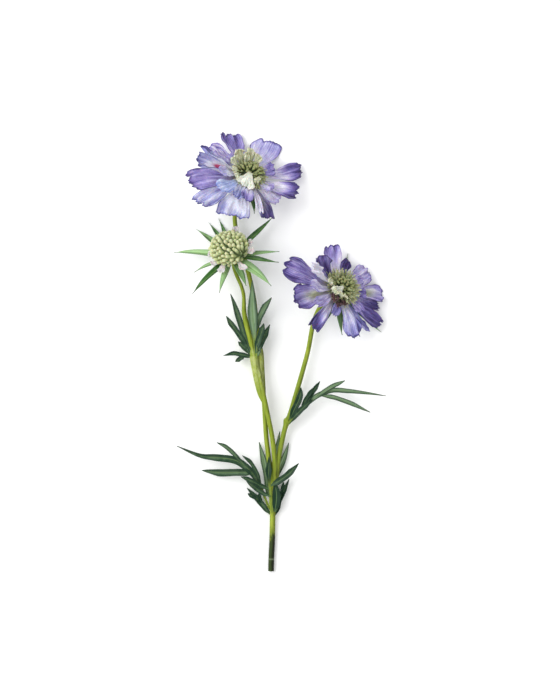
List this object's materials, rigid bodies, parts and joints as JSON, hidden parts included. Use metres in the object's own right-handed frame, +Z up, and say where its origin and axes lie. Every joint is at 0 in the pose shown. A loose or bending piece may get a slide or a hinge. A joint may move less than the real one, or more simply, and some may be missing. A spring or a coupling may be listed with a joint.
{
  "type": "scabiosa flower",
  "caption": "Cut branching scabiosa stem lying down, with open lilac flower heads, a young green head and divided leaves.",
  "frame": {"origin": "on the surface that the spray lies on, under the middle of its bounding box", "axes": "+Y along the stem from its cut end towards the heads, +X to the right seen from above, +Z up from the surface, out of the heads' faces"},
  "size_m": [0.1494, 0.3081, 0.0444],
  "materials": {
    "stem_green": "satin green stem skin, yellow-green, darker at the cut end",
    "leaf_green": "matt dark blue-green leaf with a paler midrib",
    "pale_leaf": "matt pale green young leaf",
    "bract_green": "matt green bract, darker at its tip",
    "lilac_petal": "soft matt petal, lilac-blue, paler at its base and violet along its rim",
    "cream_floret": "soft matt cream and yellow-green floret"
  },
  "bodies": {
    "root": {"stem": "stem_green", "top_head_bracts": "bract_green", "top_head_petals": "lilac_petal", "top_head_disc": "cream_floret", "right_head_bracts": "bract_green", "right_head_petals": "lilac_petal", "right_head_disc": "cream_floret", "young_head_bracts": "bract_green", "young_head_florets": "cream_floret", "leaf_fork_left": "leaf_green", "leaf_fork_front": "leaf_green", "leaf_fork_low_left": "leaf_green", "leaf_fork_right": "leaf_green", "leaf_fork_back": "pale_leaf", "leaf_branch_right": "leaf_green", "leaf_upper_left": "leaf_green", "leaf_upper_right": "leaf_green", "leaf_upper_low": "leaf_green"}
  },
  "joints": []
}
